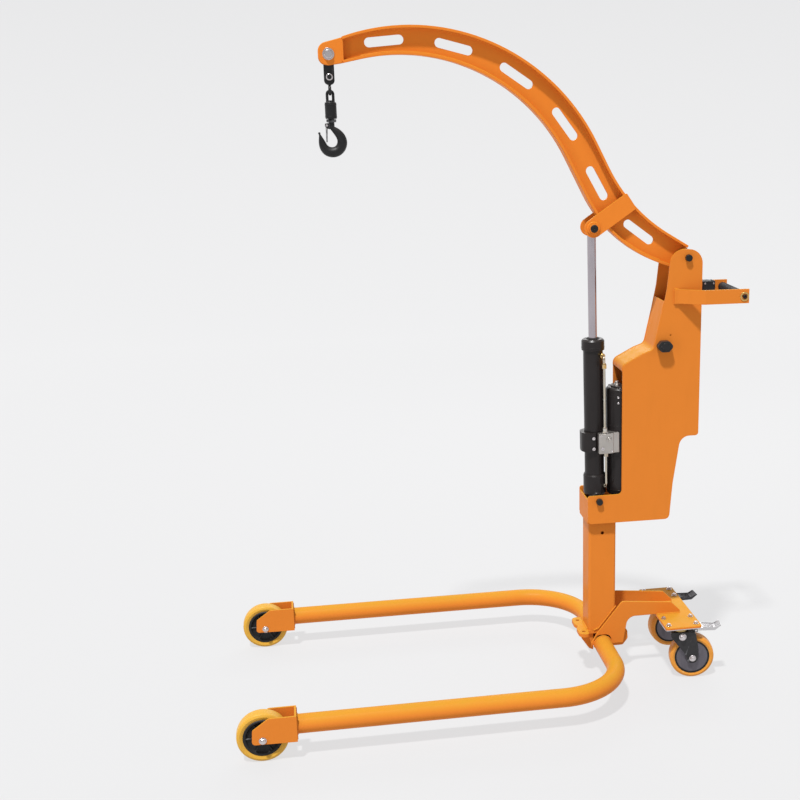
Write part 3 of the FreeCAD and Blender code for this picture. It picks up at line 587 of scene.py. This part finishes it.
def casters():
    """Wheels, swivel races, yoke nuts, pedal ears with their pins, pedal skirts and ribs, and plate bolts."""
    for (name, side), turn in zip(SIDES, CASTER_TURNS):
        place = caster(side, turn)
        y = CASTER_Y * side
        spin = place.to_3x3() @ Vector((0, 1, 0))
        body = f"caster_{name}"
        centre = in_frame(place, -CASTER_TRAIL, 0, REAR_WHEEL_RADIUS)
        wheel(f"rear_{name}", centre, spin, REAR_WHEEL_RADIUS, 57, 45, 20, f"rear_wheel_{name}", "rear_tread",
              "rear_core", (f"rear_tyre_{name}", f"rear_core_{name}"), ribs=0)
        axle(f"rear_axle_{name}_bolt", centre, spin, 32, body, f"rear_axle_{name}")
        race = [(22, 163.2), (30, 163.2, 1), (31.5, 166, 1.5), (31.5, 170, 2), (28.5, 174.6, 1.5), (22, 174.6)]
        turned(f"race_{name}", race, (CASTER_X, y, 0), (0, 0, 1), body, "yoke_steel", material=RACE_ZINC,
               steps=88)
        turned(f"race_groove_{name}", [(29, 167.2), (32, 167.4, 0.4), (32, 168.6, 0.4), (29, 168.8)],
               (CASTER_X, y, 0), (0, 0, 1), body, "yoke_steel", steps=88)
        for label, way in (("near", 1), ("far", -1)):
            bolt(f"yoke_nut_{name}_{label}", in_frame(place, -6, way * 32, 148), spin * way, 11, body)
            ear = [(-56, 161), (-44, 161), (-44, 168, 3), (-47, 172.2, 3), (-53, 172.2, 3), (-56, 168, 3)]
            low, high = sorted((way * 22.4, way * 25.4))
            slab(f"pedal_ear_{name}_{label}", ear, low, high, body, "yoke_steel", bevel=0.5, turn=place)
            pin = [(0, -6), (2.2, -6), (2.2, 0), (4, 0, 0.6), (4, 2.2, 0.8), (0, 2.2)]
            turned(f"pedal_pin_{name}_{label}", pin, in_frame(place, -50, way * 25.4, 167.3), spin * way,
                   body, "bolt_steel")
        treads = bmesh.new()
        for k in range(6):
            x = -82 - 5 * k
            rib = [(x - 1.1, 172.4), (x + 1.1, 172.4), (x + 0.6, 175.2), (x - 0.6, 175.2)]
            slab_into(treads, rib, -16, 16)
        skirt = [(-58, 163.4, 1.5), (-58, 171.5), (-74, 176, 8), (-113, 173.5, 6), (-128, 181.5),
                 (-130, 177, 2), (-113, 163.4, 6)]
        for low in (-19.9, 17.6):
            slab_into(treads, rounded(skirt), low, low + 2.3)
        treads.transform(place)
        pedal_slot = SLOT_OF[f"brake_pedal_{name}"]
        settle(new_object(f"pedal_ribs_{name}", treads), f"pedal_{name}", pedal_slot, bevel=0.3)
        for k, (dx, dy) in enumerate(((-45.5, -29.5), (-45.5, 29.5), (45.5, -29.5), (45.5, 29.5))):
            bolt(f"caster_bolt_{name}_{k}", (CASTER_X + dx, y + dy, 190), (0, 0, 1), 8, "base")
            turned(f"caster_rivet_{name}_{k}", [(0, -0.5), (6, -0.5), (6, 0.8, 0.8), (4, 2.6, 1.5), (0, 2.8)],
                   (CASTER_X + dx, y + dy, 176), (0, 0, -1), "base", "bolt_steel", steps=32)


def foot_plate():
    """Sunk screws in the front lobes, and the welds round the column's foot, side plates and cross tube."""
    for name, side in SIDES:
        turned(f"foot_screw_{name}", [(0, 139), (5.9, 139), (5.9, 145, 1), (3, 145), (3, 142.5), (0, 142.5)],
               (-292, 47 * side, 0), (0, 0, 1), "base", "pin_black", steps=32)
        y = 46.3 * side
        bead(f"column_seam_{name}", [v(-325, y, 150.5), v(-341, y, 157), v(-399, y, 231)], "base",
             "frame_paint", 2.2)
        for label, y in (("outer", 52), ("inner", 44)):
            bead(f"deck_seam_{name}_{label}", [v(-537, y * side, 190.6), v(-616, y * side, 190.6)],
                 "base", "frame_paint", 2.2)
        leg_end = circle_path((-355, 52 * side, 100), (0, 1, 0), 29.2)
        bead(f"leg_seam_{name}", leg_end[:40], "base", "frame_paint", 2.2)
    bead("column_seam_front", [v(-307, -36, 150.8), v(-307, 36, 150.8)], "base", "frame_paint", 2.6)
    bead("column_seam_rear", [v(-399, -36, 150.8), v(-399, 36, 150.8)], "base", "frame_paint", 2.6)


# ---- mast housing and handle ----

FRONT_EDGE = [(-541, 1228), (-534, 1192, 120), (-509, 1079, 22), (-475, 1067, 40), (-410, 1033, 22),
              (-410, 1014)]
REAR_EDGE = [(-660, 1290), (-660, 797, 10), (-602, 797, 34), (-585, 684)]
HANDLE_ROOT = [(-584, 1220.4), (-570.4, 1220.4), (-570.4, 1265.6), (-584, 1265.6)]
GRIP_AT = (-782, 0, 1242)
KNOB_AT = (-541, 0, 1091)


def housing():
    """Welds of the side plates, handle roots and mast, and the ribbed grip with its end rings and screws."""
    for name, side in SIDES:
        for label, edge in (("front", FRONT_EDGE), ("rear", REAR_EDGE)):
            points = [v(x, 57 * side, z) for x, z in rounded(edge, closed=False)]
            bead(f"housing_seam_{label}_{name}", points, "base", "housing_paint", 1.5)
        root = [v(x, 62.6 * side, z) for x, z in HANDLE_ROOT]
        bead(f"handle_seam_{name}", root, "base", "housing_paint", 1.8)
        bead(f"mast_seam_{name}", [v(-307, 50 * side, 524), v(-399, 50 * side, 524)], "base",
             "housing_paint", 2.4)
        bolt(f"grip_screw_{name}", (GRIP_AT[0], 108 * side, GRIP_AT[2]), (0, side, 0), 8, "base",
             slot="pin_black", head="socket", washer=False)
        turned(f"grip_ring_{name}", [(9, 107.8), (14.4, 107.8, 0.4), (14.4, 110, 1), (9, 110, 0.8)], GRIP_AT,
               (0, side, 0), "base", "housing_paint", material=BRASS, steps=40)
    grip = [(5, -102), (14.8, -102, 1), (14.8, -95, 1.5), (13.2, -92, 1.5)]
    for k in range(23):
        z = -84 + 7.6 * k
        grip += [(13.2, z - 1.2, 0.6), (14.6, z, 1.2), (14.6, z + 3.2, 1.2), (13.2, z + 4.4, 0.6)]
    grip += [(13.2, 92, 1.5), (14.8, 95, 1.5), (14.8, 102, 1), (5, 102)]
    turned("grip_sleeve", grip, GRIP_AT, (0, 1, 0), "base", "grip_rubber", replaces="grip", steps=56)
    turned("grip_core", [(0, -108), (4.9, -108), (4.9, 108), (0, 108)], GRIP_AT, (0, 1, 0), "base",
           "bolt_steel", steps=32)


def knob_and_pod():
    """Lobed knob with a raised boss and a pointer ridge; control box with a bezel and a gland."""
    turned("knob_boss", [(0, 84), (12, 84), (12, 86.2, 1), (9, 87.4, 1.2), (0, 87.6)], KNOB_AT, (0, 1, 0),
           "side_knob", "knob_black")
    ridge = [(-557, 1088.6, 1.5), (-525, 1088.6, 1.5), (-525, 1093.4, 1.5), (-557, 1093.4, 1.5)]
    slab("knob_ridge", ridge, 83, 86.4, "side_knob", "knob_black", bevel=0.8)
    turned("knob_washer", [(5.2, 62.05), (16, 62.05, 0.2), (16, 62.35, 0.1), (5.2, 62.35)], KNOB_AT,
           (0, 1, 0), "base", "pin_black")
    bezel = bmesh.new()
    for x0, x1, y0, y1 in ((-741, -707, -93, -90), (-741, -707, -72, -69),
                           (-742, -739, -93, -69), (-709, -706, -93, -69)):
        slab_into(bezel, [(x0, y0), (x1, y0), (x1, y1), (x0, y1)], 1266.5, 1268.4, "XY")
    settle(new_object("pod_bezel", bezel), "base", "pod_plastic", bevel=0.5)
    seam = [v(-744.6, -62, 1246), v(-744.6, -100, 1246)]
    bar("pod_seam", seam, 0.9, "base", "rocker_plastic", steps=10)
    turned("pod_gland", [(0, -1), (8.5, -1), (8.5, 5, 1), (6.5, 6, 0.6), (6.5, 11, 1.2), (0, 11)],
           (-703, -80, 1243), (1, 0, 0), "base", "pod_plastic", steps=32)
    for k, (x, z) in enumerate(((-738, 1231), (-710, 1231), (-738, 1260), (-710, 1260))):
        bolt(f"pod_screw_{k}", (x, -61, z), (0, 1, 0), 3.4, "base", washer=False, head="socket")


# ---- ram ----

RAM_FOOT = (-338, 0, 597)
RAM_AXIS = Vector((14, 0, 856)).normalized()
PUMP_X, PUMP_FOOT = -84, 8


def along_ram(x, y, z):
    """Point in the ram's own frame, whose Z runs up the rod from the lower pin."""
    forward = Vector((RAM_AXIS.z, 0, -RAM_AXIS.x))
    at = Vector(RAM_FOOT) + forward * x + Vector((0, 1, 0)) * y + RAM_AXIS * z
    return tuple(at)


def ram():
    """Seals, weld, pipes with their unions, screws of the clamp and valve block, and the pump's fittings."""
    pipe_x, pipe_y, pipe_top = -24, 48, 463
    turned("ram_wiper", [(13.7, 511), (20, 511), (20, 515.5, 1), (17.5, 517.5, 1), (13.7, 516, 0.6)],
           RAM_FOOT, RAM_AXIS, "ram", "ram_black", material=RUBBER)
    turned("ram_cap_groove", [(35, 486), (36.6, 486.4, 0.4), (36.6, 489, 0.4), (35, 489.4)], RAM_FOOT,
           RAM_AXIS, "ram", "ram_black")
    bead("ram_foot_seam", circle_path(along_ram(0, 0, 76.6), RAM_AXIS, 32), "ram", "ram_black", 2.2)
    pipe = [along_ram(pipe_x, 25, pipe_top), along_ram(pipe_x, pipe_y, pipe_top),
            along_ram(pipe_x, pipe_y, 218)]
    bar("feed_pipe_run", bend(pipe, 10), 3.6, "ram", "pipe_zinc", replaces="feed_pipe", steps=24)
    turned("feed_banjo", [(0, 0), (8, 0), (8, 9, 1), (6.5, 10, 0.6), (6.5, 15, 1), (0, 15)],
           along_ram(pipe_x, 22, pipe_top), (0, 1, 0), "ram", "pipe_zinc", material=BRASS, steps=36)
    for label, z, metal in (("top", 436, BRASS), ("low", 232, MATERIALS["pipe_zinc"])):
        turned(f"feed_nut_{label}", [(3.4, -9), (7.4, -9, 1), (7.4, 3, 1), (5.2, 8, 1), (3.4, 8)],
               along_ram(pipe_x, pipe_y, z), RAM_AXIS, "ram", "pipe_zinc", material=metal, steps=6)
    drain = [along_ram(-27, 46, 158), along_ram(-27, 46, 46), along_ram(-27, 20, 40)]
    bar("return_pipe", bend(drain, 14), 3.4, "ram", "pipe_zinc", steps=24)
    for label, point, axis in (("top", along_ram(-27, 46, 150), RAM_AXIS),
                               ("low", along_ram(-27, 29, 42), Vector((0, 1, 0.22)))):
        turned(f"return_nut_{label}", [(3.2, -7), (7, -7, 1), (7, 4, 1), (4.6, 7, 1), (3.2, 7)], point, axis,
               "ram", "pipe_zinc", steps=6)
    for k, z in enumerate((168, 202)):
        for label, side in (("", 1), ("_back", -1)):
            bolt(f"clamp_screw{label}_{k}", along_ram(10, 37 * side, z), (0, side, 0), 6.5, "ram",
                 head="socket", washer=False)
    turned("relief_valve", [(0, 0), (9, 0, 0.6), (9, 5, 0.8), (6, 6, 0.6), (6, 11, 1.2), (0, 11)],
           along_ram(-36, 57, 200), (0, 1, 0), "ram", "valve_grey", steps=32)
    bolt("relief_nut", along_ram(-36, 62.5, 200), (0, 1, 0), 7, "ram", slot="valve_grey", washer=False)
    bolt("port_plug", along_ram(-14, 57.5, 172), (0, 1, 0), 7, "ram", head="socket", washer=False)
    for k, (x, z) in enumerate(((-9, 213), (-44, 163))):
        bolt(f"block_screw_{k}", along_ram(x, 57.5, z), (0, 1, 0), 4, "ram", head="socket", washer=False)
    for k, z in enumerate((16, 128, 228, 322)):
        turned(f"pump_band_{k}", [(43, -1.6), (44.7, -1.2, 0.6), (44.7, 1.2, 0.6), (43, 1.6)],
               along_ram(PUMP_X, 0, PUMP_FOOT + z), RAM_AXIS, "ram", "ram_black", steps=96)
    turned("pump_lid", [(0, 349), (30, 349), (30, 353, 1), (27, 355, 2), (0, 355)],
           along_ram(PUMP_X, 0, PUMP_FOOT), RAM_AXIS, "ram", "ram_black")
    turned("pump_gland", [(0, 354), (9, 354), (9, 361, 1), (6.5, 362, 0.6), (6.5, 370, 1.5), (0, 370)],
           along_ram(PUMP_X + 12, 16, PUMP_FOOT), RAM_AXIS, "ram", "valve_grey", steps=32)
    for k in range(6):
        a = math.radians(60 * k + 20)
        bolt(f"pump_bolt_{k}", along_ram(PUMP_X + 36 * math.cos(a), 36 * math.sin(a), 357.5), RAM_AXIS, 4,
             "ram", washer=False, head="socket")
    for k, z in enumerate((330, 312)):
        out = Vector((14, 42, 0)).normalized()
        bolt(f"pump_screw_{k}", along_ram(PUMP_X + 44 * out.x, 44 * out.y, z), out, 4.5, "ram",
             washer=False, head="socket")
    turned("rod_collar", [(13.6, 838), (16, 838, 1), (16, 843, 1), (13.6, 843)], RAM_FOOT, RAM_AXIS, "rod",
           "rod_chrome")


# ---- boom ----

def arc_points(line, offset, step=4.0):
    """Points along a line of (x, z, radius) corners moved to its left, with true tangent arcs."""
    corners = [Vector(c[:2]) for c in line]
    moved = []
    for i, corner in enumerate(corners):
        back = (corner - corners[i - 1]).normalized() if i else (corners[1] - corner).normalized()
        ahead = (corners[i + 1] - corner).normalized() if i < len(corners) - 1 else back
        left = [Vector((-d.y, d.x)) for d in (back, ahead)]
        mitre = (left[0] + left[1]).normalized()
        turn = back.x * ahead.y - back.y * ahead.x
        radius = line[i][2] - offset * math.copysign(1, turn) if len(line[i]) > 2 else 0
        moved.append((corner + mitre * (offset / mitre.dot(left[0])), radius))
    points = [moved[0][0]]
    for i in range(1, len(moved) - 1):
        here, radius = moved[i]
        before = (moved[i - 1][0] - here).normalized()
        after = (moved[i + 1][0] - here).normalized()
        half = before.angle(after) / 2
        middle = here + (before + after).normalized() * (radius / math.sin(half))
        start, end = here + before * (radius / math.tan(half)), here + after * (radius / math.tan(half))
        first, last = start - middle, end - middle
        sweep = math.atan2(first.x * last.y - first.y * last.x, first.dot(last))
        count = max(4, round(abs(sweep) * radius / step))
        for k in range(count + 1):
            a = sweep * k / count
            points.append(middle + Vector((first.x * math.cos(a) - first.y * math.sin(a),
                                           first.x * math.sin(a) + first.y * math.cos(a))))
    return points + [moved[-1][0]]


TOP_LINE = [(-626, 1392), (-437, 1506, 500), (-88, 2190, 610), (428, 1995)]
BOTTOM_LINE = [(-600, 1317), (-377, 1399, 430), (-56, 2030, 540), (420, 1929)]
NOSE_X = 400
TIP_X, TIP_Z = 440, 1958
STRAP_PIN = (-324, 0, 1453)


def boom():
    """Welds along both flanges and round the nose, nose washers, and the caps and bosses of the straps."""
    for label, line, offset in (("top", TOP_LINE, -8.6), ("bottom", BOTTOM_LINE, 8.6)):
        points = [p for p in arc_points(line, offset) if -560 < p.x < NOSE_X - 2]
        for name, side in SIDES:
            seam = [v(p.x, 5.0 * side, p.y) for p in points]
            bead(f"boom_seam_{label}_{name}", seam, "boom", "boom_paint", 2.4)
    for name, side in SIDES:
        nose_seam = [v(399.6, 20.4 * side, 1938), v(399.6, 20.4 * side, 1998)]
        bead(f"nose_seam_{name}", nose_seam, "boom", "boom_paint", 2.2)
        turned(f"nose_washer_{name}", [(8.2, 21.05), (16.5, 21.05, 0.4), (16.5, 23, 0.6), (8.2, 23)],
               (TIP_X, 0, TIP_Z), (0, side, 0), "boom", "bolt_steel", steps=48)
        cap = [(0, 38), (12, 38, 0.4), (12, 40.8, 1), (9, 42.2, 1), (3, 42.2, 0.5), (2.4, 41), (0, 41)]
        turned(f"strap_cap_{name}", cap, STRAP_PIN, (0, side, 0), "boom", "pin_black")
        turned(f"strap_boss_{name}", [(15.3, 30.8), (21, 30.8), (21, 33.5, 1), (19, 35, 1), (15.3, 35)],
               STRAP_PIN, (0, side, 0), "boom", "boom_paint")


def hook_set():
    """Latch lugs with a rivet and a spring, shackle rings, the hook's nut and the swivel's grooves."""
    for name, side in SIDES:
        lug = [(444, 1752), (452, 1754, 2), (458.5, 1760, 3), (458.5, 1768, 3), (450, 1769, 3), (444, 1768)]
        low, high = sorted((7.6 * side, 10.4 * side))
        slab(f"latch_lug_{name}", lug, low, high, "hook", "hook_black", bevel=0.6)
        rivet = [(0, 6), (2, 6), (2, 10.4), (3.4, 10.4, 0.4), (3.4, 12, 0.8), (0, 12.2)]
        turned(f"latch_rivet_{name}", rivet, (454, 0, 1763.5), (0, side, 0), "hook", "bolt_steel", steps=24)
        ring = [(6.4, 11), (9.6, 11), (9.6, 18.6, 0.6), (8.6, 19.2, 0.6), (6.4, 19.2)]
        turned(f"shackle_ring_{name}", ring, (TIP_X, 0, 1896), (0, side, 0), "shackle", "bolt_steel", steps=40)
    turned("hook_nut", [(8.6, 1771.5), (13.5, 1771.5, 1), (14, 1775, 1), (14, 1779.6, 1), (8.6, 1779.6)],
           (TIP_X, 0, 0), (0, 0, 1), "hook", "hook_black", steps=6)
    for k, z in enumerate((1788, 1820)):
        turned(f"swivel_groove_{k}", [(15.5, z - 1.4), (17, z - 1, 0.4), (17, z + 1, 0.4), (15.5, z + 1.4)],
               (TIP_X, 0, 0), (0, 0, 1), "swivel", "hook_black")
    spring = [v(454 + 3.2 * math.cos(a), -6 + 12 * a / (10 * math.pi), 1763.5 + 3.2 * math.sin(a))
              for a in (math.pi / 8 * k for k in range(81))]
    bar("latch_spring", spring, 0.55, "latch", "latch_grey", steps=8)


front_wheels()
casters()
foot_plate()
housing()
knob_and_pod()
ram()
boom()
hook_set()


# ---- floor, light and camera ----

def make_backdrop():
    """Floor that curves up into a wall far behind the crane."""
    floor_y, radius, wall = -6000, 4000, 40000
    half = 60000
    line = [(half, 0), (floor_y, 0)]
    for k in range(1, 25):
        a = math.radians(90 * k / 24)
        line.append((floor_y - radius * math.sin(a), radius - radius * math.cos(a)))
    line.append((floor_y - radius, wall))
    bm = bmesh.new()
    rows = [[bm.verts.new(v(x, y, z)) for x in (-half, half)] for y, z in line]
    for first, second in zip(rows, rows[1:]):
        bm.faces.new((first[0], first[1], second[1], second[0]))
    obj = new_object("backdrop", bm)
    obj.data.materials.append(BACKDROP.material)
    obj.data.shade_smooth()


def make_lights():
    """A dim world that the camera sees as pale as the floor, an overhead key and three soft boxes."""
    world = bpy.data.worlds.new("Studio")
    world.use_nodes = True
    background = world.node_tree.nodes["Background"]
    background.inputs["Color"].default_value = (1, 1, 1, 1)
    strength = world.node_tree.nodes.new("ShaderNodeMapRange")
    strength.inputs["To Min"].default_value = 0.38
    strength.inputs["To Max"].default_value = 0.85
    rays = world.node_tree.nodes.new("ShaderNodeLightPath")
    world.node_tree.links.new(rays.outputs["Is Camera Ray"], strength.inputs["Value"])
    world.node_tree.links.new(strength.outputs[0], background.inputs["Strength"])
    bpy.context.scene.world = world
    sun = bpy.data.lights.new("Overhead", "SUN")
    sun.energy = 3.9
    sun.angle = math.radians(4)
    key = bpy.data.objects.new("Overhead", sun)
    key.rotation_mode = "QUATERNION"
    key.rotation_quaternion = Vector((-0.22, -0.36, -0.907)).to_track_quat("-Z", "Y")
    bpy.context.scene.collection.objects.link(key)
    for label, place, width, height, energy in (("Left", (3.4, 2.4, 1.5), 0.5, 2.6, 20),
                                                ("Right", (-3.2, 2.0, 1.9), 0.4, 2.2, 12),
                                                ("Back", (-1.2, -3.6, 2.6), 2.4, 0.8, 22)):
        soft = bpy.data.lights.new(label, "AREA")
        soft.shape = "RECTANGLE"
        soft.size, soft.size_y, soft.energy = width, height, energy
        box = bpy.data.objects.new(label, soft)
        box.location = place
        box.visible_glossy = label == "Back"
        box.rotation_mode = "QUATERNION"
        box.rotation_quaternion = (Vector((-0.2, 0, 1.0)) - box.location).to_track_quat("-Z", "Y")
        bpy.context.scene.collection.objects.link(box)


def make_camera():
    data = bpy.data.cameras.new("Camera")
    data.sensor_width = 36
    data.lens = 57.96
    data.shift_x = -0.1806
    data.shift_y = 0.0637
    data.clip_end = 100
    camera = bpy.data.objects.new("Camera", data)
    eye = v(581.1, 3845.1, 1864.6)
    forward = Vector((-0.18545, -0.94427, -0.27195)).normalized()
    right = forward.cross(Vector((0, 0, 1))).normalized()
    up = right.cross(forward)
    roll = 0.007
    tilted_right = right * math.cos(roll) - up * math.sin(roll)
    tilted_up = right * math.sin(roll) + up * math.cos(roll)
    axes = Matrix((tilted_right, tilted_up, -forward)).transposed().to_4x4()
    camera.matrix_world = Matrix.Translation(eye) @ axes
    bpy.context.scene.collection.objects.link(camera)
    bpy.context.scene.camera = camera


bpy.context.scene.view_settings.view_transform = "Standard"
make_backdrop()
make_lights()
make_camera()
